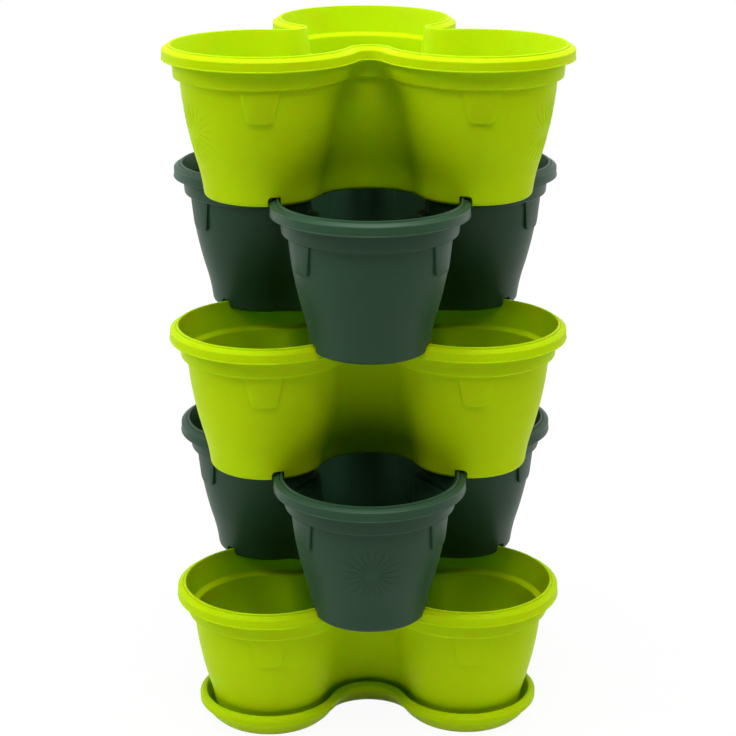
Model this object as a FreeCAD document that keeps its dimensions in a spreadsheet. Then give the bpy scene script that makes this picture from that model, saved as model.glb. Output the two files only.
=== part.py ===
import FreeCAD, Part
import os
import re
import sys
import Sketcher

# Vertical planter tower: identical three-lobed pots stacked on a saucer, each pot turned half a
# lobe pitch against its neighbours. Every pot is held by the crossing rim of the pot beneath it,
# which enters a channel moulded into the base. Origin under the middle of the saucer.

Vector = FreeCAD.Vector
doc = FreeCAD.newDocument("PlanterTower")

SIZES = (
    ("LobeRadius", 87, "outer radius of a lobe at the rim"),
    ("ValleyRadius", 11, "outer radius of the valley between two lobes at the rim"),
    ("ValleyOffset", 84.36, "pot's axis to a valley's axis"),
    ("PotHeight", 134, "base to rim"),
    ("NestDepth", 7.7, "how far a base reaches below the rim that carries it"),
    ("SeatGap", 0.3, "between a pot and what it rests on"),
    ("Wall", 2.4, "pot wall and floor"),
    ("RimHeight", 13, "rim skirt, top to lower edge"),
    ("RimOverhang", 8.5, "rim skirt stands this far out from the collar"),
    ("RimRound", 6.6, "rolled shoulder of the rim"),
    ("SkirtWall", 2.2, "rim skirt, open underneath"),
    ("CollarHeight", 12.5, "straight part of the collar below the skirt"),
    ("CollarDraft", 1.2, "how far the collar leans in over its height"),
    ("StepHeight", 4, "sloping step from the collar to the body"),
    ("BodyInset", 15.4, "top of the body, in from the rim's outer face"),
    ("BellyInset", 20.2, "middle of the bulge, in from the rim's outer face"),
    ("WaistInset", 29, "end of the bulge, in from the rim's outer face"),
    ("WaistLevel", 31, "end of the bulge above the base"),
    ("FootInset", 34.4, "foot, in from the rim's outer face"),
    ("FootBevel", 1.6, "bevel round the base"),
    ("ChannelOuter", 1.3, "room beyond the outer face of the rim in the base channel"),
    ("ChannelInner", 2.6, "room beyond the inner face of the rim in the base channel"),
    ("LugAngle", 60, "lugs, either side of a lobe's outward line"),
    ("LugTop", 32, "width of a lug under the collar"),
    ("LugBottom", 22, "width of a lug at its lower end"),
    ("LugHeight", 28, "height of a lug"),
    ("LugProud", 1.5, "lug stands this far out from the top of the body"),
    ("LugRound", 4, "lower corners of a lug"),
    ("DrainRadius", 4, "drain hole in a pot's floor"),
    ("DrainSpread", 36, "drain hole from the pot's axis"),
    ("TrayInset", 18.7, "saucer's rim, in from the pots' rim"),
    ("TrayHeight", 22, "saucer, base to rim"),
    ("TrayWall", 2.4, "saucer wall and floor"),
    ("TrayRimHeight", 8.5, "saucer rim, top to lower edge"),
    ("TrayRimWidth", 6.6, "saucer rim across its top"),
    ("TrayRimStep", 3.4, "saucer rim stands this far out from the wall"),
    ("TrayRimBevel", 2.6, "shoulder of the saucer rim"),
    ("TrayFlank", 9.5, "lower end of the saucer's wall, in from its rim"),
    ("TrayFlankLevel", 4.5, "lower end of the saucer's wall above the base"),
    ("TrayFoot", 13.4, "saucer's flat base, in from its rim"),
)
sheet = doc.addObject("Spreadsheet::Sheet", "Sizes")
for row, (alias, value, note) in enumerate(SIZES, start=1):
    sheet.set(f"A{row}", alias)
    sheet.set(f"B{row}", str(value))
    sheet.setAlias(f"B{row}", alias)
    sheet.set(f"C{row}", note)
doc.recompute()
ALIAS = re.compile(r"\b(" + "|".join(size[0] for size in SIZES) + r")\b")

POT_COUNT = 5
LOBES = 3

# The outline is three lobe arcs joined by three valley arcs tangent to them. An inset moves every
# arc along its radius and keeps its centre, so walls at all levels share the same joins.
REACH = "(LobeRadius + ValleyRadius)"
LOBE = f"((ValleyOffset + sqrt(4 * {REACH}^2 - 3 * ValleyOffset^2)) / 2)"
JOIN = f"acos(({LOBE}^2 + {REACH}^2 - ValleyOffset^2) / (2 * {LOBE} * {REACH}))"

PITCH = "(PotHeight - NestDepth)"
CHANNEL = "(NestDepth + SeatGap)"
STEP = "(PotHeight - RimHeight - CollarHeight - StepHeight)"
BELLY = f"((WaistLevel + {STEP}) / 2)"
RIDGE = f"({CHANNEL} + Wall)"
BASE_LEVEL = "(TrayWall + SeatGap)"


def sized(text):
    """Expression with its size names pointing at the sheet."""
    return ALIAS.sub(r"Sizes.\1", text)


def number(text):
    """What an expression is worth now."""
    result = sheet.evalExpression(sized(str(text)))
    return float(getattr(result, "Value", result))


def origin_of(body, role):
    return next(item for item in body.Origin.OriginFeatures if item.Role == role)


def sketch_on(body, name, role, level="0"):
    """Sketch on one of the body's own origin planes, moved along its normal."""
    sketch = body.newObject("Sketcher::SketchObject", name)
    sketch.AttachmentSupport = [(origin_of(body, role), "")]
    sketch.MapMode = "FlatFace"
    if level != "0":
        sketch.setExpression("AttachmentOffset.Base.z", sized(level))
    return sketch


def pin(sketch, geometry, end, place):
    """Hold a sketch point at two expressions measured from the sketch's origin."""
    for kind, text in zip(("DistanceX", "DistanceY"), place):
        item = sketch.addConstraint(
            Sketcher.Constraint(kind, -1, 1, geometry, end, number(text))
        )
        sketch.setExpression(f"Constraints[{item}]", sized(text))


def draw(sketch, points):
    """Closed outline through points (across, up). A point reached by an arc also has the arc's
    radius and, in degrees, a first idea of how far the arc turns: positive is anticlockwise."""
    flat = [Vector(number(p[0]), number(p[1]), 0) for p in points]
    ends = []
    for i, point in enumerate(points):
        start, finish = flat[i - 1], flat[i]
        if len(point) == 2:
            item = sketch.addGeometry(Part.LineSegment(start, finish), False)
            ends.append((item, 1, 2))
            continue
        radius, turn = number(point[2]), point[3]
        chord = finish - start
        side = Vector(-chord.y, chord.x, 0).normalize()
        reach = max(radius**2 - (chord.Length / 2) ** 2, 0) ** 0.5
        if (turn > 0) != (abs(turn) < 180):
            reach = -reach
        circle = Part.Circle((start + finish) / 2 + side * reach, Vector(0, 0, 1), radius)
        first, last = (start, finish) if turn > 0 else (finish, start)
        arc = Part.ArcOfCircle(circle, circle.parameter(first), circle.parameter(last))
        item = sketch.addGeometry(arc, False)
        limit = sketch.addConstraint(Sketcher.Constraint("Radius", item, radius))
        sketch.setExpression(f"Constraints[{limit}]", sized(str(point[2])))
        ends.append((item, 1, 2) if turn > 0 else (item, 2, 1))
    for i, point in enumerate(points):
        item, _, finish = ends[i]
        following, start, _ = ends[(i + 1) % len(points)]
        sketch.addConstraint(Sketcher.Constraint("Coincident", item, finish, following, start))
        pin(sketch, item, finish, point[:2])


def trefoil(sketch, inset, turned=0):
    """Three-lobed closed outline, its first lobe at an angle from the body's X axis."""
    points = []
    for k in range(LOBES):
        lobe, valley = turned + 120 * k, turned + 120 * k + 60
        for sign, radius, turn in ((-1, f"ValleyRadius + ({inset})", -144),
                                   (1, f"LobeRadius - ({inset})", 264)):
            # join between this lobe and the valley before it (-1) or after it (+1)
            angle = f"({lobe} deg + {sign} * (180 deg - {JOIN}))"
            out = f"(LobeRadius - ({inset}))"
            points.append((
                f"{LOBE} * cos({lobe} deg) + {out} * cos({angle})",
                f"{LOBE} * sin({lobe} deg) + {out} * sin({angle})",
                radius, turn))
    draw(sketch, points)


def wall_section(body, name, profile, part):
    """Section of a wall in the XZ plane with the upright line that it turns about. The profile's
    insets run outwards from the lobe's hub at +X, and mirrored from the valley's hub at -X."""
    hub, edge, way = {"Lobe": (LOBE, "LobeRadius", -1),
                      "Valley": ("-ValleyOffset", "ValleyRadius", 1)}[part]
    sketch = sketch_on(body, name, "XZ_Plane")
    points = []
    for inset, up, *arc in profile:
        bend = [arc[0], arc[1] * -way] if arc else []
        points.append((f"{hub} + {edge} + {way} * ({inset})", up, *bend))
    draw(sketch, points)
    low, high = Vector(number(hub), 0, 0), Vector(number(hub), 50, 0)
    axis = sketch.addGeometry(Part.LineSegment(low, high), True)
    pin(sketch, axis, 1, (hub, "0"))
    pin(sketch, axis, 2, (hub, "50"))
    return sketch


def spread(body, name, features, count=LOBES):
    """Repeat features evenly round the pot's axis."""
    pattern = body.newObject("PartDesign::PolarPattern", name)
    pattern.Originals = features
    pattern.Axis = (origin_of(body, "Z_Axis"), [""])
    pattern.Angle = 360
    pattern.Occurrences = count
    body.Tip = pattern
    doc.recompute()
    return pattern


def new_body(label):
    body = doc.addObject("PartDesign::Body", label)
    body.Label = label
    return body


def pad(body, name, sketch, length):
    feature = body.newObject("PartDesign::Pad", name)
    feature.Profile = sketch
    feature.setExpression("Length", sized(length))
    doc.recompute()
    return feature


def pocket(body, name, sketch, length=None, upwards=True):
    """Cut from the sketch's plane upwards by a length, or through everything."""
    before = body.Shape.Volume
    feature = body.newObject("PartDesign::Pocket", name)
    feature.Profile = sketch
    feature.Reversed = upwards
    if length:
        feature.setExpression("Length", sized(length))
    else:
        feature.Type = "ThroughAll"
    doc.recompute()
    if not body.Shape.Volume < before - 1:
        sys.exit(f"{name} cuts nothing")
    return feature


def revolved(body, name, profile, part, kind="PartDesign::Revolution", sweep=None):
    """Turn a section about its lobe's or valley's upright line, as far as its arc reaches."""
    sketch = wall_section(body, f"{name}Section", profile, part)
    feature = body.newObject(kind, name)
    feature.Profile = sketch
    feature.ReferenceAxis = (sketch, ["Axis0"])
    feature.Midplane = True
    sweep = sweep or {"Lobe": f"360 deg - 2 * {JOIN}", "Valley": f"240 deg - 2 * {JOIN}"}[part]
    feature.setExpression("Angle", sized(sweep))
    feature.Refine = False
    doc.recompute()
    return feature


def revolve_walls(body, profile):
    """Three lobe walls and the three valley walls between them."""
    for part in ("Lobe", "Valley"):
        wall = revolved(body, f"{body.Label}_{part}Wall", profile, part)
        spread(body, f"{body.Label}_{part}Walls", [wall])
    body.Tip.Refine = True
    doc.recompute()


def add_floor(body, inset, thickness):
    floor = sketch_on(body, f"{body.Label}_FloorOutline", "XY_Plane")
    trefoil(floor, inset)
    pad(body, f"{body.Label}_Floor", floor, thickness)


def add_ridge(body):
    """Ridge on the floor over the channel, which follows the crossing rim, ending in the wall."""
    ridge = sketch_on(body, f"{body.Label}_RidgeOutline", "XY_Plane", "Wall")
    trefoil(ridge, "-ChannelOuter - Wall", 60)
    trefoil(ridge, "RimOverhang + 2 * Wall + ChannelInner", 60)
    pad(body, f"{body.Label}_Ridge", ridge, CHANNEL)
    trim = sketch_on(body, f"{body.Label}_RidgeEnds", "XY_Plane", "Wall")
    around = "ValleyOffset + 3 * LobeRadius"
    circle = Part.Circle(Vector(), Vector(0, 0, 1), number(around))
    edge = trim.addGeometry(circle, False)
    trim.addConstraint(Sketcher.Constraint("Coincident", edge, 3, -1, 1))
    limit = trim.addConstraint(Sketcher.Constraint("Radius", edge, circle.Radius))
    trim.setExpression(f"Constraints[{limit}]", sized(around))
    trefoil(trim, "FootInset + Wall / 2")
    pocket(body, f"{body.Label}_RidgeTrim", trim)


def add_lugs(body):
    """Six tapered lugs under the collar, their faces turned about the lobe's own upright line."""
    lower = f"({STEP} - LugHeight)"
    # where the upright face of a lug is inside the sloping step
    upper = f"({STEP} + StepHeight * (LugProud + Wall / 4) / (BodyInset - RimOverhang - CollarDraft))"
    face = "(LobeRadius - BodyInset + 2 * LugProud)"
    depth = "(WaistInset - BodyInset + 2 * LugProud)"
    lugs = []
    for side in (1, -1):
        sketch = sketch_on(body, f"{body.Label}_LugOutline", "XZ_Plane")
        turn = f"({side} * LugAngle * 1 deg)"
        sketch.AttachmentOffset = FreeCAD.Placement(
            Vector(), FreeCAD.Rotation(Vector(0, 1, 0), number(f"90 deg + {turn}")))
        sketch.setExpression("AttachmentOffset.Base.x", sized(f"{LOBE} + {face} * cos({turn})"))
        sketch.setExpression("AttachmentOffset.Base.z", sized(f"-{face} * sin({turn})"))
        sketch.setExpression("AttachmentOffset.Rotation.Angle", sized(f"90 deg + {turn}"))
        draw(sketch, (
            ("-LugTop / 2", upper),
            ("-LugTop / 2", f"{STEP}"),
            ("-LugBottom / 2", f"{lower} + LugRound"),
            ("-LugBottom / 2 + LugRound", lower, "LugRound", 90),
            ("LugBottom / 2 - LugRound", lower),
            ("LugBottom / 2", f"{lower} + LugRound", "LugRound", 90),
            ("LugTop / 2", f"{STEP}"),
            ("LugTop / 2", upper),
        ))
        lug = pad(body, f"{body.Label}_Lug", sketch, depth)
        lug.Reversed = True
        doc.recompute()
        lugs.append(lug)
    waste = {
        "Back": (
            ("RimOverhang + CollarDraft + Wall / 2", f"{STEP} + StepHeight"),
            ("BodyInset + Wall / 2", STEP),
            ("BellyInset + Wall / 2", BELLY),
            ("WaistInset + Wall / 2", "WaistLevel"),
            ("WaistInset + BodyInset + Wall", "WaistLevel"),
            ("WaistInset + BodyInset + Wall", f"{STEP} + StepHeight"),
        ),
        "Face": (
            ("BodyInset - LugProud", f"{lower} - LugRound"),
            ("BodyInset - LugProud", upper),
            ("0", upper),
            ("0", f"{lower} - LugRound"),
        ),
    }
    turned = [revolved(body, f"{body.Label}_Lug{side}", profile, "Lobe", "PartDesign::Groove",
                       "2 * LugAngle * 1 deg + 90 deg") for side, profile in waste.items()]
    spread(body, f"{body.Label}_Lugs", lugs + turned)


def pot_profile():
    """Pot wall from the foot up the outside, over the open rim skirt and down the inside."""
    under = "PotHeight - RimHeight"
    return (
        ("FootInset + FootBevel", "0"),
        ("FootInset", "FootBevel"),
        ("WaistInset", "WaistLevel"),
        ("BellyInset", BELLY),
        ("BodyInset", STEP),
        ("RimOverhang + CollarDraft", f"{STEP} + StepHeight"),
        ("RimOverhang", "PotHeight - Wall"),
        ("SkirtWall", "PotHeight - Wall"),
        ("SkirtWall", under),
        ("0", under),
        ("0", "PotHeight - RimRound"),
        ("RimRound * (1 - cos(45 deg))", "PotHeight - RimRound * (1 - cos(45 deg))"),
        ("RimRound", "PotHeight"),
        ("RimOverhang + Wall", "PotHeight"),
        ("RimOverhang + CollarDraft + Wall", f"{STEP} + StepHeight"),
        ("BodyInset + Wall", STEP),
        ("BellyInset + Wall", BELLY),
        ("WaistInset + Wall", "WaistLevel"),
        ("FootInset + Wall", f"1.2 * {RIDGE}"),
        ("FootInset + Wall", "0"),
    )


def add_channel(body):
    """Channel in the base that the crossing rim enters, open through the wall at each crossing."""
    ring = sketch_on(body, f"{body.Label}_ChannelOutline", "XY_Plane")
    trefoil(ring, "-ChannelOuter", 60)
    trefoil(ring, "RimOverhang + Wall + ChannelInner", 60)
    pocket(body, f"{body.Label}_Channel", ring, CHANNEL)


def add_drains(body):
    """One drain hole per lobe, inside the crossing rim."""
    sketch = sketch_on(body, f"{body.Label}_DrainPlace", "XY_Plane")
    circle = Part.Circle(Vector(number("DrainSpread"), 0, 0), Vector(0, 0, 1), number("DrainRadius"))
    edge = sketch.addGeometry(circle, False)
    pin(sketch, edge, 3, ("DrainSpread", "0"))
    limit = sketch.addConstraint(Sketcher.Constraint("Radius", edge, circle.Radius))
    sketch.setExpression(f"Constraints[{limit}]", sized("DrainRadius"))
    drain = pocket(body, f"{body.Label}_Drain", sketch)
    spread(body, f"{body.Label}_Drains", [drain])


def make_pot(label):
    """Pot about its own axis, base at zero, one lobe towards +X."""
    pot = new_body(label)
    add_floor(pot, "FootInset + (FootBevel + Wall) / 2", "Wall")
    add_ridge(pot)
    add_lugs(pot)
    revolve_walls(pot, pot_profile())
    add_channel(pot)
    add_drains(pot)
    return pot


def tray_profile():
    """Saucer wall from the foot up the outside, over the rim band and down the inside."""
    band = "TrayHeight - TrayRimHeight"
    return (
        ("TrayInset + TrayFoot", "0"),
        ("TrayInset + TrayFlank", "TrayFlankLevel"),
        ("TrayInset + TrayRimStep", band),
        ("TrayInset", band),
        ("TrayInset", "TrayHeight - TrayRimBevel"),
        ("TrayInset + TrayRimBevel", "TrayHeight"),
        ("TrayInset + TrayRimWidth", "TrayHeight"),
        ("TrayInset + TrayRimWidth", band),
        ("TrayInset + TrayFlank + TrayWall", "TrayFlankLevel + TrayWall / 2"),
        ("TrayInset + TrayFoot + TrayWall", "TrayWall"),
        ("TrayInset + TrayFoot + TrayWall", "0"),
    )


def make_tray(label):
    tray = new_body(label)
    add_floor(tray, "TrayInset + TrayFoot + TrayWall / 2", "TrayWall")
    revolve_walls(tray, tray_profile())
    return tray


tray = make_tray("saucer")
first = make_pot("pot_1")
parts = [tray, first]
for n in range(2, POT_COUNT + 1):
    pot = new_body(f"pot_{n}")
    pot.BaseFeature = first
    parts.append(pot)
doc.recompute()

# The saucer and every second pot have a lobe at the back, the others a lobe at the front
for n, piece in enumerate(parts):
    front = n > 0 and n % 2 == 0
    turn = FreeCAD.Rotation(Vector(0, 0, 1), -90 if front else 90)
    piece.Placement = FreeCAD.Placement(Vector(), turn)
    if n > 0:
        piece.setExpression("Placement.Base.z", sized(f"{BASE_LEVEL} + {n - 1} * {PITCH}"))
doc.recompute()

faulty = [f"{item.Label}: {', '.join(item.State)}" for item in doc.Objects
          if {"Invalid", "Error"} & set(item.State)]
for piece in parts:
    shape = piece.Shape
    if shape.isNull() or not shape.isValid() or len(shape.Solids) != 1:
        faulty.append(f"{piece.Label}: not one valid solid")
if faulty:
    sys.exit("; ".join(faulty))

os.makedirs("parts", exist_ok=True)
for piece in parts:
    piece.Shape.exportStep(f"parts/{piece.Label}.step")
    box = piece.Shape.BoundBox
    print(f"{piece.Label}: volume {piece.Shape.Volume:.0f}, faces {len(piece.Shape.Faces)}, "
          f"z {box.ZMin:.2f} to {box.ZMax:.2f}, width {box.XLength:.1f} by {box.YLength:.1f}")
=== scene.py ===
"""Dresses a stacking planter tower: moulded trefoil pots and their saucer, a pale studio stage and
the camera. All sizes of the mouldings are in millimetres until a finished mesh is scaled down."""

import math
import bmesh
import bpy
from bpy.props import FloatProperty, FloatVectorProperty, IntProperty, PointerProperty
from mathutils import Matrix, Vector


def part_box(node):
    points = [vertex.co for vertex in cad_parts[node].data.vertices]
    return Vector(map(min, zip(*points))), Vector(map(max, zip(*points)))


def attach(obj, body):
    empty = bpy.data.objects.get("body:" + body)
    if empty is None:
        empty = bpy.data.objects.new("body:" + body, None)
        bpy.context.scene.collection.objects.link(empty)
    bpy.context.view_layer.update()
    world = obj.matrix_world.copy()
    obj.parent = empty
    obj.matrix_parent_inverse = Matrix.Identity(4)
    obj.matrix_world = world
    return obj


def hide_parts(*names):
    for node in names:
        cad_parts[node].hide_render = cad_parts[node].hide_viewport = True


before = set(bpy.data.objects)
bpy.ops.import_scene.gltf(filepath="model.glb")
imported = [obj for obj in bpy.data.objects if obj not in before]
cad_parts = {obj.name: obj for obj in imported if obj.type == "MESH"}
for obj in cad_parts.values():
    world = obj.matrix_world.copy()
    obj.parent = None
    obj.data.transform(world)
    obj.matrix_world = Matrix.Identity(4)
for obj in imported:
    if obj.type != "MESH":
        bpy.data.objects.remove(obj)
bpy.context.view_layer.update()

bl_info = {
    "name": "Planter Tower Dresser",
    "version": (1, 0, 0),
    "blender": (4, 5, 0),
    "location": "View3D > Sidebar > Planter",
    "description": "Moulded pots, saucer, plastic finishes and studio for a planter tower",
    "category": "Object",
}

POTS = sorted(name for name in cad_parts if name.startswith("pot_"))
# Lobes that carry a burst, counted anticlockwise from the back lobe of a lime pot or the front
# lobe of a dark green one.
BURST_LOBES = {"pot_1": (0,), "pot_2": (0, 2), "pot_3": (0,), "pot_4": (1, 2), "pot_5": (1, 2)}

MM = 0.001
LOBES = range(3)
HALF_LOBE = math.radians(60)  # from the middle of a lobe to the middle of a valley
CREASE = math.radians(32)  # edges sharper than this stay crisp
WELD, SHARP = 0.01, 0.01  # distance that merges arcs' ends, and radius of a corner left sharp
CORNER_POINTS = 1.98  # points on a rounded corner, per radian and per root of its radius

# Outer face of a pot's body: its inset from the rim's face against the depth below the rim, first
# from the collar and then from the waist down to the foot.
COLLAR_DEPTH, COLLAR_INSET, BODY_DRAFT, BODY_BELLY = 30, 15.4, 0.075, 660
WAIST_DEPTH, WAIST_INSET, FOOT_DRAFT, FOOT_CURVE = 103, 29.0, 0.2962, 280
BODY_LEVELS = range(10, 101, 6)

# Edges of the flat base and of the floor inside, the wall of the rim's open skirt, the groove
# beside the rim's bead, and the wall of the saucer.
BASE_EDGE, BASE_ROUND, FLOOR_EDGE, FLOOR_ROUND = 44, 4.5, 50, 4.0
SKIRT_WALL, GROOVE_DEPTH, SAUCER_WALL = 2.3, 2.1, 2.4

# Channel across a pot's base, which drops over the rim below, and the ridge it makes inside.
CHANNEL_OUTER, CHANNEL_CLEARANCE, CHANNEL_ROUND, CHANNEL_LOW = -1.3, 1.5, 4.0, -2
RIDGE_OUTER, RIDGE_ROUND, RIDGE_LOW = -3.7, 5.0, 1.2

# Lugs: half widths, lower edge above the base, reach into the collar, back face behind the wall,
# how proud the face is at the top, what it gains to the lower edge, corners, edges, and the cuts
# that let a lug bend round the wall.
LUG_TOP_HALF, LUG_LOW_HALF, LUG_LOW, LUG_REACH = 16.2, 11.0, 76.2, 0.8
LUG_BACK, LUG_PROUD, LUG_FLARE, LUG_CORNER, LUG_EDGE = -1.2, 1.6, 1.2, 4.0, 0.3
LUG_CUTS = range(-15, 16, 3)

# Marks on the wall keep their width at this inset. A burst is open in the middle of its radius.
MARK_INSET, BURST_OPEN, STROKE_HALF = 18, 0.22, 0.5

LIGHT_AIM = Vector((0, 0, 0.33))
FLOOR_DROP = 0.0005


class PotSizes(bpy.types.PropertyGroup):
    lobe_radius: FloatProperty(name="Lobe radius", default=86.98, description="Rim of a lobe, mm")
    lobe_offset: FloatProperty(name="Lobe offset", default=107.5,
                               description="Pot axis to lobe axis, mm")
    valley_radius: FloatProperty(name="Valley radius", default=11.0,
                                 description="Rim between lobes, mm")
    height: FloatProperty(name="Height", default=134.0, description="Base to rim, mm")
    wall: FloatProperty(name="Wall", default=2.4, description="Wall thickness, mm")
    rim_height: FloatProperty(name="Rim height", default=12.7, description="Rim skirt, mm")
    rim_width: FloatProperty(name="Rim width", default=8.3,
                             description="Rim face to pot mouth, mm")
    overhang: FloatProperty(name="Overhang", default=8.5, description="Rim beyond collar, mm")
    collar_foot: FloatProperty(name="Collar foot", default=30.0,
                               description="Collar end below rim, mm")
    channel_height: FloatProperty(name="Channel", default=9.0,
                                  description="Base channel height, mm")
    drain_radius: FloatProperty(name="Drain radius", default=4.0, description="Drain hole, mm")
    drain_spread: FloatProperty(name="Drain spread", default=36.0,
                                description="Pot axis to drain hole, mm")
    lobe_steps: IntProperty(name="Lobe steps", default=72, description="Facets round a lobe")
    valley_steps: IntProperty(name="Valley steps", default=30, description="Facets round a valley")


class SaucerSizes(bpy.types.PropertyGroup):
    inset: FloatProperty(name="Inset", default=18.7, description="Saucer rim inside pot rim, mm")
    height: FloatProperty(name="Height", default=23.8, description="Base to rim, mm")
    rim_height: FloatProperty(name="Rim height", default=8.5, description="Rim band, mm")


class ReliefSizes(bpy.types.PropertyGroup):
    rays: IntProperty(name="Rays", default=20, description="Strokes in a burst")
    reach: FloatProperty(name="Reach", default=27.0, description="Outer radius of a burst, mm")
    level: FloatProperty(name="Level", default=62.0, description="Burst centre above base, mm")
    proud: FloatProperty(name="Proud", default=0.45, description="Relief of a stroke, mm")


class Finish(bpy.types.PropertyGroup):
    lime: FloatVectorProperty(name="Lime", subtype="COLOR", size=3, default=(0.44, 0.64, 0.001),
                              description="Lime plastic")
    green: FloatVectorProperty(name="Dark green", subtype="COLOR", size=3,
                               default=(0.018, 0.056, 0.028), description="Dark green plastic")
    mottle: FloatProperty(name="Mottle", default=0.07, subtype="FACTOR",
                          description="How much darker and paler the clouding goes")
    roughness: FloatProperty(name="Roughness", default=0.37, subtype="FACTOR",
                             description="Lowest roughness of the satin")
    lime_shine: FloatProperty(name="Lime shine", default=0.025, subtype="FACTOR",
                              description="Specular level of the lime plastic")
    green_shine: FloatProperty(name="Green shine", default=0.16, subtype="FACTOR",
                               description="Specular level of the dark green plastic")
    lime_depth: FloatProperty(name="Lime depth", default=0.65, subtype="FACTOR",
                              description="Share of light that passes into the thin lime walls")
    grain: FloatProperty(name="Grain", default=0.10, description="Depth of the moulded grain, mm")


class StageSettings(bpy.types.PropertyGroup):
    top: FloatProperty(name="Top", default=49.0, subtype="POWER",
                       description="Overhead softbox, W")
    front: FloatProperty(name="Front", default=24.0, subtype="POWER",
                         description="High front softbox, W")
    left: FloatProperty(name="Left", default=25.0, subtype="POWER",
                        description="High left softbox, W")
    right: FloatProperty(name="Right", default=13.0, subtype="POWER",
                         description="High right softbox, W")
    back: FloatProperty(name="Back", default=12.0, subtype="POWER",
                        description="Each rear softbox, W")
    warmth: FloatVectorProperty(name="Warmth", subtype="COLOR", size=3, default=(1.0, 0.89, 0.84),
                                description="Colour of the front and right softboxes")
    ambient: FloatProperty(name="Ambient", default=0.03, description="World light")
    lens: FloatProperty(name="Lens", default=94.27, unit="CAMERA", description="Focal length, mm")
    shift: FloatProperty(name="Shift", default=0.00118, description="Sideways shift of the frame")
    place: FloatVectorProperty(name="Camera place", subtype="TRANSLATION", unit="LENGTH", size=3,
                               default=(-0.04626, -1.72674, 0.89429), description="Camera, m")
    yaw: FloatProperty(name="Yaw", default=0.027, subtype="ANGLE", unit="ROTATION",
                       description="Turn of the camera to its right")
    pitch: FloatProperty(name="Pitch", default=0.31712, subtype="ANGLE", unit="ROTATION",
                         description="Tilt of the camera below the horizon")
    roll: FloatProperty(name="Roll", default=0.00154, subtype="ANGLE", unit="ROTATION",
                        description="Turn of the camera about its view")


class Wire:
    """Output of a shader node. Arithmetic on it adds Math nodes."""

    def __init__(self, graph, socket):
        self.graph, self.socket = graph, socket

    def math(self, operation, *values):
        return self.graph.add("Math", {"operation": operation}, dict(enumerate(values)))

    def __add__(self, other):
        return self.math("ADD", self, other)

    def __mul__(self, other):
        return self.math("MULTIPLY", self, other)

    __radd__, __rmul__ = __add__, __mul__


class Graph:
    """Node tree of one material or world."""

    def __init__(self, owner):
        owner.use_nodes = True
        self.tree = owner.node_tree
        self.tree.nodes.clear()

    def add(self, kind, settings=None, inputs=None, output=0):
        node = self.tree.nodes.new("ShaderNode" + kind)
        for key, value in (settings or {}).items():
            setattr(node, key, value)
        for key, value in (inputs or {}).items():
            if isinstance(value, Wire):
                self.tree.links.new(value.socket, node.inputs[key])
            else:
                node.inputs[key].default_value = value
        return Wire(self, node.outputs[output]) if node.outputs else None

    def noise(self, place, scale, detail, roughness):
        return self.add("TexNoise", inputs={"Vector": place, "Scale": scale, "Detail": detail,
                                            "Roughness": roughness})

    def background_rays(self):
        """1 for a ray that shows the background, straight or by way of metal or glass."""
        camera, glossy, transmission = (self.add("LightPath", output=f"Is {kind} Ray")
                                        for kind in ("Camera", "Glossy", "Transmission"))
        return camera + glossy + transmission


def moulded_plastic(name, colour, shine, depth=0.0):
    """Satin moulded plastic: fine spark-eroded grain, faint flow clouding and rubbed patches."""
    finish = bpy.context.scene.planter_finish
    material = bpy.data.materials.new(name)
    g = Graph(material)
    place = g.add("TexCoord", output="Object")
    upright = g.add("Mapping", inputs={"Vector": place, "Scale": (1.0, 1.0, 0.25)})
    cloud = g.noise(place, 9.0, 3.0, 0.55)
    flow = g.noise(upright, 60.0, 4.0, 0.6)
    grain = g.noise(place, 900.0, 2.0, 0.5)
    pits = g.add("TexVoronoi", {"feature": "F1"}, {"Vector": place, "Scale": 620.0})
    rubs = g.add("MapRange", {"interpolation_type": "SMOOTHSTEP"}, {
        "Value": g.noise(place, 26.0, 5.0, 0.7), "From Min": 0.56, "From Max": 0.74})
    darker, paler = ((*(channel * factor for channel in colour), 1)
                     for factor in (1 - finish.mottle, 1 + finish.mottle))
    shade = g.add("Mix", {"data_type": "RGBA"}, {
        "Factor": cloud * 0.7 + flow * 0.3, "A": darker, "B": paler}, output="Result")
    g.add("OutputMaterial", inputs={"Surface": g.add("BsdfPrincipled", inputs={
        "Base Color": shade,
        "Roughness": finish.roughness + flow * 0.08 + rubs * 0.05,
        "IOR": 1.49,
        "Specular IOR Level": shine,
        "Subsurface Weight": depth,
        "Subsurface Radius": (0.1, 1.0, 0.05),
        "Subsurface Scale": 0.003,
        "Normal": g.add("Bump", inputs={
            "Height": grain * 0.6 + pits * 0.4, "Strength": 0.22,
            "Distance": finish.grain * MM}),
    })})
    material.diffuse_color = (*colour, 1)


def white_floor():
    """White as the camera and reflections see it, with the soft shadow close to the object."""
    material = bpy.data.materials.new("studio_white")
    g = Graph(material)
    far = g.add("VectorMath", {"operation": "LENGTH"}, {0: g.add("TexCoord", output="Object")},
                output="Value")
    white = g.add("MapRange", {"interpolation_type": "SMOOTHSTEP"}, {
        "Value": far, "From Min": 0.15, "From Max": 0.7, "To Min": 0.95, "To Max": 1.0})
    lit = g.add("BsdfDiffuse", inputs={"Color": (0.85, 0.85, 0.85, 1)})
    glow = g.add("Emission", inputs={"Color": (1, 1, 1, 1), "Strength": 1.0})
    g.add("OutputMaterial", inputs={"Surface": g.add("MixShader", inputs={
        0: g.background_rays() * white, 1: lit, 2: glow})})
    return material


def white_world(ambient):
    """White as the camera and reflections see it, and dimmer as a light."""
    world = bpy.data.worlds.new("studio_world")
    g = Graph(world)
    lit, white = (g.add("Background", inputs={"Color": (1, 1, 1, 1), "Strength": strength})
                  for strength in (ambient, 1.0))
    g.add("OutputWorld", inputs={"Surface": g.add("MixShader", inputs={
        0: g.background_rays(), 1: lit, 2: white})})
    return world


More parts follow.
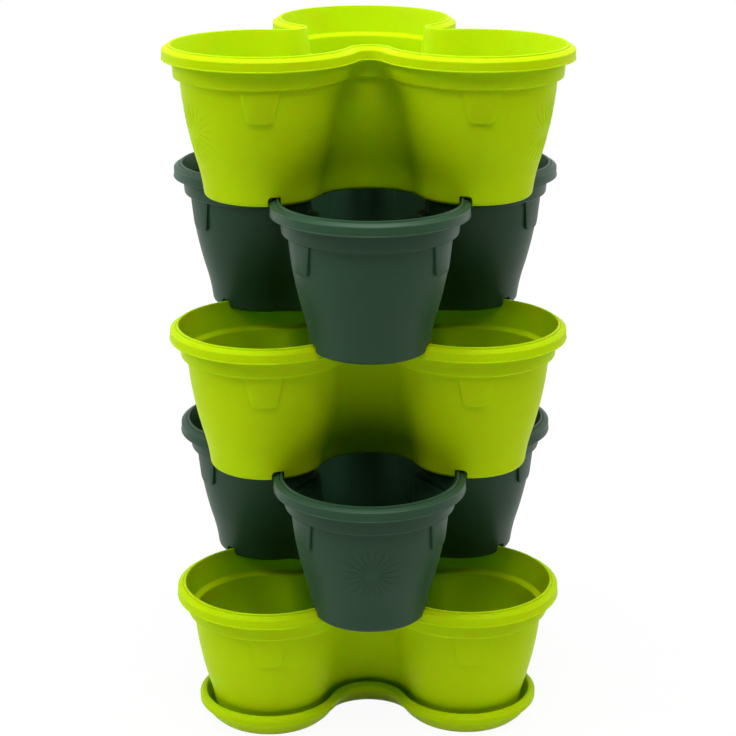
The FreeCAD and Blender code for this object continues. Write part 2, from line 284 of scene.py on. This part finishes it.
def lobe_turn(count):
    """Turn about the pot's axis by a number of lobes."""
    return Matrix.Rotation(math.radians(120 * count), 3, "Z")


class Trefoil:
    """Outline of three lobe arcs and three tangent valley arcs, one lobe towards +X."""

    def __init__(self, sizes):
        self.lobe, self.offset, self.valley = (sizes.lobe_radius, sizes.lobe_offset,
                                               sizes.valley_radius)
        reach = self.lobe + self.valley
        self.hub = (self.offset + math.sqrt(4 * reach**2 - 3 * self.offset**2)) / 2
        join = math.acos((self.offset**2 + reach**2 - self.hub**2) / (2 * self.offset * reach))
        self.lobe_half = math.pi - join
        self.valley_half = math.radians(120) - join
        self.lobe_steps, self.valley_steps = sizes.lobe_steps, sizes.valley_steps

    def sweep(self, bm, profile, closed=False, turn=0.0):
        """Spin a profile of (inset, height) points along all six arcs and weld the joins."""
        made = []
        arcs = ((Vector((self.offset, 0, 0)), self.lobe, -1, self.lobe_half, self.lobe_steps),
                (Vector((-self.hub, 0, 0)), self.valley, 1, self.valley_half, self.valley_steps))
        for hub, radius, way, half, steps in arcs:
            row = [bm.verts.new((hub.x + radius + way * inset, 0, height))
                   for inset, height in profile]
            ends = row[1:] + row[:1] if closed else row[1:]
            edges = [bm.edges.new(pair) for pair in zip(row, ends)]
            bmesh.ops.rotate(bm, verts=row, cent=hub, matrix=Matrix.Rotation(-half, 3, "Z"))
            bmesh.ops.spin(bm, geom=row + edges, cent=hub, axis=(0, 0, 1), angle=2 * half,
                           steps=steps, use_merge=False)
            arc = joined(row)
            made += arc
            for count in (1, 2):
                twin = bmesh.ops.duplicate(bm, geom=with_faces(arc))["geom"]
                verts = [v for v in twin if isinstance(v, bmesh.types.BMVert)]
                bmesh.ops.rotate(bm, verts=verts, cent=(0, 0, 0), matrix=lobe_turn(count))
                made += verts
        bmesh.ops.rotate(bm, verts=made, cent=(0, 0, 0), matrix=Matrix.Rotation(turn, 3, "Z"))
        bmesh.ops.remove_doubles(bm, verts=made, dist=WELD)

    def moulding(self, name, profile):
        """Object swept from an open profile, with a flat face across each of its two ends."""
        bm = bmesh.new()
        self.sweep(bm, profile)
        bmesh.ops.holes_fill(bm, edges=[e for e in bm.edges if e.is_boundary], sides=0)
        bmesh.ops.recalc_face_normals(bm, faces=bm.faces)
        return finished(name, bm)

    def ring(self, low, high, outer, inner, round_over):
        """Closed ring along the crossing rim, its outer upper corner rounded."""
        bm = bmesh.new()
        start = (outer + 4, low, 0)
        section = rounded([start, (outer, low, SHARP), (outer, high, round_over),
                           (inner, high, SHARP), (inner, low, SHARP), start])[1:-1]
        self.sweep(bm, section, closed=True, turn=HALF_LOBE)
        bmesh.ops.recalc_face_normals(bm, faces=bm.faces)
        return finished("ring", bm)


def joined(seed):
    """All vertices that edges join to the seed, in the order in which they are reached."""
    found, front = dict.fromkeys(seed), list(seed)
    while front:
        for edge in front.pop().link_edges:
            for vert in edge.verts:
                if vert not in found:
                    found[vert] = None
                    front.append(vert)
    return list(found)


def with_faces(verts):
    """Vertices with the edges and faces among them, in the same order on each run."""
    chosen = set(verts)
    edges = dict.fromkeys(e for v in verts for e in v.link_edges if chosen.issuperset(e.verts))
    faces = dict.fromkeys(f for v in verts for f in v.link_faces if chosen.issuperset(f.verts))
    return [*verts, *edges, *faces]


def rounded(corners):
    """Points of a polyline whose corners (inset, height, radius) are rounded."""
    points = []
    for i, (x, y, radius) in enumerate(corners):
        here = Vector((x, y))
        if not radius or i in (0, len(corners) - 1):
            points.append((x, y))
            continue
        before = (Vector(corners[i - 1][:2]) - here).normalized()
        after = (Vector(corners[i + 1][:2]) - here).normalized()
        angle = before.angle(after)
        back = radius / math.tan(angle / 2)
        centre = here + (before + after).normalized() * (radius / math.sin(angle / 2))
        start, end = here + before * back - centre, here + after * back - centre
        count = max(2, round(math.sqrt(radius) * (math.pi - angle) * CORNER_POINTS))
        total = start.angle_signed(end)
        for k in range(count + 1):
            spot = start.copy()
            spot.rotate(Matrix.Rotation(-total * k / count, 2))
            points.append(tuple(centre + spot))
    return points


def body_inset(depth):
    """Outer face of a pot's body, in from the rim, at a depth below the rim."""
    if depth <= WAIST_DEPTH:
        below = depth - COLLAR_DEPTH
        return COLLAR_INSET + BODY_DRAFT * below + below**2 / BODY_BELLY
    below = depth - WAIST_DEPTH
    return WAIST_INSET + FOOT_DRAFT * below - below**2 / FOOT_CURVE


def pot_profile(sizes):
    """Base edge, up the outside, over the beaded rim and its open skirt, down the inside."""
    top, wall, over = sizes.height, sizes.wall, sizes.overhang
    skirt, mouth, foot = top - sizes.rim_height, sizes.rim_width, top - sizes.collar_foot
    groove = top - GROOVE_DEPTH
    base = [(BASE_EDGE, 0, 0), (body_inset(top) + 0.2, 0, BASE_ROUND)]
    body = [(body_inset(top - level), level, 0) for level in BODY_LEVELS]
    collar = [(body_inset(sizes.collar_foot) + 0.1, foot, 0.9), (over + 1.4, foot + 1.6, 1.8),
              (over, skirt + 0.6, 6.0)]
    under_rim = [(over - 2.0, top - 5.6, 0.8), (SKIRT_WALL, top - 7.2, 0.8),
                 (SKIRT_WALL, skirt, 0.35)]
    lip = [(0.0, skirt, 0.3), (0.0, skirt + 0.9, 0.3), (0.5, skirt + 1.4, 0.5)]
    shoulder = [(0.45, top - 4.0, 1.5), (mouth - 4.6, groove, 5.0), (mouth - 3.1, top - 1.4, 0.15)]
    bead = [(mouth - 2.75, groove, 0.15), (mouth - 2.3, groove, 0.15), (mouth - 2.0, top, 0.35),
            (mouth, top, 0.7)]
    ledge = [(over + wall + 1.0, foot + 4.2, 2.2),
             (body_inset(sizes.collar_foot + 1.5) + wall, foot + 2.4, 2.0)]
    inside = [(body_inset(top - level) + wall, level, 0) for level in reversed(BODY_LEVELS[1:])
              if level < foot - 4]
    floor = [(body_inset(top - 6) + wall + 0.2, wall, FLOOR_ROUND), (FLOOR_EDGE, wall, 0)]
    return rounded([*base, *body, *collar, *under_rim, *lip, *shoulder, *bead, *ledge, *inside,
                    *floor])


def saucer_profile(sizes):
    """Flat base, lower curve, band under a rounded rim, and the tray inside."""
    inset, top, wall = sizes.inset, sizes.height, SAUCER_WALL
    band, foot, flank, flank_level = top - sizes.rim_height, inset + 14.2, inset + 8.6, 5.2
    under = [(inset + 22, 0, 0), (foot, 0, 3.0), (flank, flank_level, 6.0),
             (inset + 3.4, band, 0.8)]
    rim = [(inset + 0.1, band, 0.5), (inset, top - 2.8, 1.6), (inset + 2.6, top - 0.6, 2.4),
           (inset + 4.4, top, 0.4), (inset + 6.6, top, 0.8)]
    tray = [(inset + 6.8, band - 1, 2.5), (flank + wall, flank_level + wall * 0.6, 5.0),
            (foot + wall, wall, 2.5), (inset + 24, wall, 0)]
    return rounded([*under, *rim, *tray])


def linked(name, data):
    """New object of a mesh, a lamp or a camera, in the scene."""
    thing = bpy.data.objects.new(name, data)
    bpy.context.scene.collection.objects.link(thing)
    return thing


def finished(name, bm):
    """New object of a finished bmesh."""
    mesh = bpy.data.meshes.new(name)
    bm.to_mesh(mesh)
    bm.free()
    return linked(name, mesh)


def carved(name, base, *steps):
    """New mesh of an object after boolean steps, and the helpers are removed."""
    for operation, helper in steps:
        cut = base.modifiers.new(operation.title(), "BOOLEAN")
        cut.operation, cut.object, cut.solver = operation, helper, "EXACT"
    bpy.context.view_layer.update()
    seen = bpy.context.evaluated_depsgraph_get()
    mesh = bpy.data.meshes.new_from_object(base.evaluated_get(seen))
    mesh.name = name
    for thing in [base] + [helper for _, helper in steps]:
        bpy.data.objects.remove(thing)
    return mesh


def wrap(verts, outline, sizes, angle):
    """Lay flat verts (across, height, proud) on a lobe's wall at an angle from its outward line."""
    for vert in verts:
        across, level, proud = vert.co
        radius = outline.lobe - body_inset(max(sizes.height - level, sizes.collar_foot)) + proud
        bend = angle + across / (outline.lobe - MARK_INSET)
        vert.co = (outline.offset + radius * math.cos(bend), radius * math.sin(bend), level)


def lug(bm, outline, sizes, angle):
    """Tapered lug hanging under the collar, proud of the wall, with rounded lower corners."""
    top = sizes.height - sizes.collar_foot + LUG_REACH
    corners = [bm.verts.new((across, level, LUG_BACK)) for across, level in (
        (-LUG_TOP_HALF, top), (-LUG_LOW_HALF, LUG_LOW), (LUG_LOW_HALF, LUG_LOW),
        (LUG_TOP_HALF, top))]
    bm.faces.new(corners)
    bmesh.ops.bevel(bm, geom=corners[1:3], offset=LUG_CORNER, segments=6, profile=0.5,
                    material=-1, affect="VERTICES")
    raised = bmesh.ops.extrude_face_region(bm, geom=list(corners[0].link_faces))["geom"]
    for vert in (v for v in raised if isinstance(v, bmesh.types.BMVert)):
        vert.co.z = LUG_PROUD + LUG_FLARE * (top - vert.co.y) / (top - LUG_LOW)
    brow = [e for e in raised if isinstance(e, bmesh.types.BMEdge)]
    bmesh.ops.bevel(bm, geom=brow, offset=LUG_EDGE, segments=2, profile=0.5, material=-1,
                    affect="EDGES")
    for cut in LUG_CUTS:
        bmesh.ops.bisect_plane(bm, geom=with_faces(joined(corners[:1])), dist=1e-4,
                               plane_co=(cut, 0, 0), plane_no=(1, 0, 0))
    verts = joined(corners[:1])
    wrap(verts, outline, sizes, angle)
    return verts


def burst(bm, outline, sizes, relief):
    """Even radial strokes in low relief on a lobe's outward face."""
    made = []
    inner, outer = BURST_OPEN * relief.reach, relief.reach
    for k in range(relief.rays):
        stroke = bmesh.ops.create_uvsphere(bm, u_segments=8, v_segments=12, radius=1.0)["verts"]
        bmesh.ops.rotate(bm, verts=stroke, matrix=Matrix.Rotation(math.pi / 2, 3, "Y"))
        bmesh.ops.scale(bm, verts=stroke, vec=((outer - inner) / 2, STROKE_HALF, relief.proud))
        bmesh.ops.translate(bm, verts=stroke, vec=((outer + inner) / 2, 0, 0))
        bmesh.ops.rotate(bm, verts=stroke,
                         matrix=Matrix.Rotation(math.tau * (k + 0.5) / relief.rays, 3, "Z"))
        bmesh.ops.translate(bm, verts=stroke, vec=(0, relief.level, 0))
        made += stroke
    wrap(made, outline, sizes, 0.0)
    return made


def drain(bm, sizes):
    """Cutter for the drain hole of one lobe."""
    verts = bmesh.ops.create_cone(bm, cap_ends=True, segments=32, radius1=sizes.drain_radius,
                                  radius2=sizes.drain_radius, depth=12.0)["verts"]
    bmesh.ops.translate(bm, verts=verts, vec=(sizes.drain_spread, 0, 0))
    return verts


def on_lobes(name, lobes, make):
    """Object of closed forms: make builds them for the lobe towards +X, once for each lobe."""
    bm = bmesh.new()
    for lobe in lobes:
        bmesh.ops.rotate(bm, verts=make(bm), cent=(0, 0, 0), matrix=lobe_turn(lobe))
    bmesh.ops.recalc_face_normals(bm, faces=bm.faces)
    return finished(name, bm)


def pot_mesh():
    """One pot about its own axis, base at zero, a lobe towards +X."""
    sizes = bpy.context.scene.planter_pot
    outline = Trefoil(sizes)
    shell = outline.moulding("shell", pot_profile(sizes))
    # The core ends in the middle of the foot's wall, so the ridge doesn't come out through it.
    height, mid = sizes.height, sizes.wall * 0.5
    core = outline.moulding("core", [
        (body_inset(height) + 6, 1), (body_inset(height) + mid + 1, 2),
        *((body_inset(height - level) + mid, level) for level in (7, 16))])
    high, reach = sizes.channel_height, sizes.rim_width + CHANNEL_CLEARANCE
    ridge = linked("ridge", carved("ridge", outline.ring(
        RIDGE_LOW, high + sizes.wall, RIDGE_OUTER, reach + sizes.wall, RIDGE_ROUND),
        ("INTERSECT", core)))
    lugs = on_lobes("lugs", LOBES, lambda bm: [
        vert for side in (1, -1) for vert in lug(bm, outline, sizes, side * HALF_LOBE)])
    channel = outline.ring(CHANNEL_LOW, high, CHANNEL_OUTER, reach, CHANNEL_ROUND)
    drains = on_lobes("drains", LOBES, lambda bm: drain(bm, sizes))
    return carved("pot", shell, ("UNION", ridge), ("UNION", lugs), ("DIFFERENCE", channel),
                  ("DIFFERENCE", drains))


def smooth(thing):
    """Smooth faces with crisp edges."""
    thing.data.shade_smooth()
    thing.data.set_sharp_from_angle(angle=CREASE)


def settle(thing, body, node, colour):
    """Give a moulding its plastic and its body, and let it stand for the CAD node."""
    thing.data.materials.clear()
    thing.data.materials.append(bpy.data.materials[f"{colour}_satin"])
    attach(thing, body)
    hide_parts(node)


class PLANTER_OT_finishes(bpy.types.Operator):
    """Make the two plastics"""
    bl_idname = "planter.finishes"
    bl_label = "Plastic Finishes"

    def execute(self, context):
        finish = context.scene.planter_finish
        moulded_plastic("lime_satin", finish.lime, finish.lime_shine, finish.lime_depth)
        moulded_plastic("dark_green_satin", finish.green, finish.green_shine)
        return {"FINISHED"}


class PLANTER_OT_pots(bpy.types.Operator):
    """Mould every pot and set it on its body"""
    bl_idname = "planter.pots"
    bl_label = "Pots"

    def execute(self, context):
        sizes, relief = context.scene.planter_pot, context.scene.planter_relief
        outline = Trefoil(sizes)
        master = pot_mesh()
        for name in POTS:
            front = int(name[-1]) % 2 == 0
            low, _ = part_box(name)
            rays = on_lobes("rays", BURST_LOBES[name],
                            lambda bm: burst(bm, outline, sizes, relief))
            mesh = carved(name, linked("plain", master.copy()), ("UNION", rays))
            mesh.transform(Matrix.Translation((0, 0, low.z)) @ Matrix.Rotation(
                math.radians(-90 if front else 90), 4, "Z") @ Matrix.Scale(MM, 4))
            thing = linked(f"{name}_moulding", mesh)
            smooth(thing)
            settle(thing, name, name, "dark_green" if front else "lime")
        return {"FINISHED"}


class PLANTER_OT_saucer(bpy.types.Operator):
    """Mould the saucer"""
    bl_idname = "planter.saucer"
    bl_label = "Saucer"

    def execute(self, context):
        outline = Trefoil(context.scene.planter_pot)
        thing = outline.moulding("saucer_moulding", saucer_profile(context.scene.planter_saucer))
        thing.data.transform(Matrix.Rotation(math.radians(90), 4, "Z") @ Matrix.Scale(MM, 4))
        smooth(thing)
        settle(thing, "saucer", "saucer", "lime")
        return {"FINISHED"}


class PLANTER_OT_stage(bpy.types.Operator):
    """Set the floor, the lights, the world and the camera"""
    bl_idname = "planter.stage"
    bl_label = "Stage"

    def execute(self, context):
        scene, settings = context.scene, context.scene.planter_stage
        scene.view_settings.view_transform = "Standard"
        bm = bmesh.new()
        bmesh.ops.create_circle(bm, cap_ends=True, segments=96, radius=14.0)
        floor = finished("studio_floor", bm)
        floor.location.z = -FLOOR_DROP
        floor.data.materials.append(white_floor())
        scene.world = white_world(settings.ambient)
        white = (1.0, 1.0, 1.0)
        for name, place, size, power, colour in (
                ("top", (0.0, -0.2, 2.5), 1.6, settings.top, white),
                ("front", (0.0, -1.5, 2.5), 0.7, settings.front, settings.warmth),
                ("left", (-2.0, -0.6, 1.9), 1.0, settings.left, white),
                ("right", (2.0, -0.6, 1.9), 1.0, settings.right, settings.warmth),
                ("back_left", (-2.0, 1.0, 1.0), 1.6, settings.back, white),
                ("back_right", (2.0, 1.0, 1.0), 1.6, settings.back, white)):
            lamp = bpy.data.lights.new(name, "AREA")
            lamp.shape, lamp.size, lamp.energy, lamp.color = "SQUARE", size, power, colour
            softbox = linked(name, lamp)
            softbox.location = place
            facing = LIGHT_AIM - softbox.location
            softbox.rotation_euler = facing.to_track_quat("-Z", "Y").to_euler()

        lens = bpy.data.cameras.new("camera")
        lens.lens, lens.sensor_width, lens.shift_x = settings.lens, 36.0, settings.shift
        camera = linked("camera", lens)
        camera.location = settings.place
        camera.rotation_euler = (Matrix.Rotation(-settings.yaw, 3, "Z")
                                 @ Matrix.Rotation(math.pi / 2 - settings.pitch, 3, "X")
                                 @ Matrix.Rotation(settings.roll, 3, "Z")).to_euler()
        scene.camera = camera
        return {"FINISHED"}


class PLANTER_PT_sidebar(bpy.types.Panel):
    """Buttons for the planter tower"""
    bl_idname = "PLANTER_PT_sidebar"
    bl_label = "Planter Tower"
    bl_space_type = "VIEW_3D"
    bl_region_type = "UI"
    bl_category = "Planter"

    def draw(self, context):
        for operator in OPERATORS:
            self.layout.operator(operator.bl_idname)


GROUPS = {"planter_pot": PotSizes, "planter_saucer": SaucerSizes, "planter_relief": ReliefSizes,
          "planter_finish": Finish, "planter_stage": StageSettings}
OPERATORS = (PLANTER_OT_finishes, PLANTER_OT_pots, PLANTER_OT_saucer, PLANTER_OT_stage)


def register():
    for cls in (*GROUPS.values(), *OPERATORS, PLANTER_PT_sidebar):
        bpy.utils.register_class(cls)
    for name, group in GROUPS.items():
        setattr(bpy.types.Scene, name, PointerProperty(type=group))


def unregister():
    for name in GROUPS:
        delattr(bpy.types.Scene, name)
    for cls in reversed((*GROUPS.values(), *OPERATORS, PLANTER_PT_sidebar)):
        bpy.utils.unregister_class(cls)


def main():
    register()
    for operator in OPERATORS:
        getattr(bpy.ops.planter, operator.bl_idname.split(".")[1])()


if __name__ == "__main__":
    main()
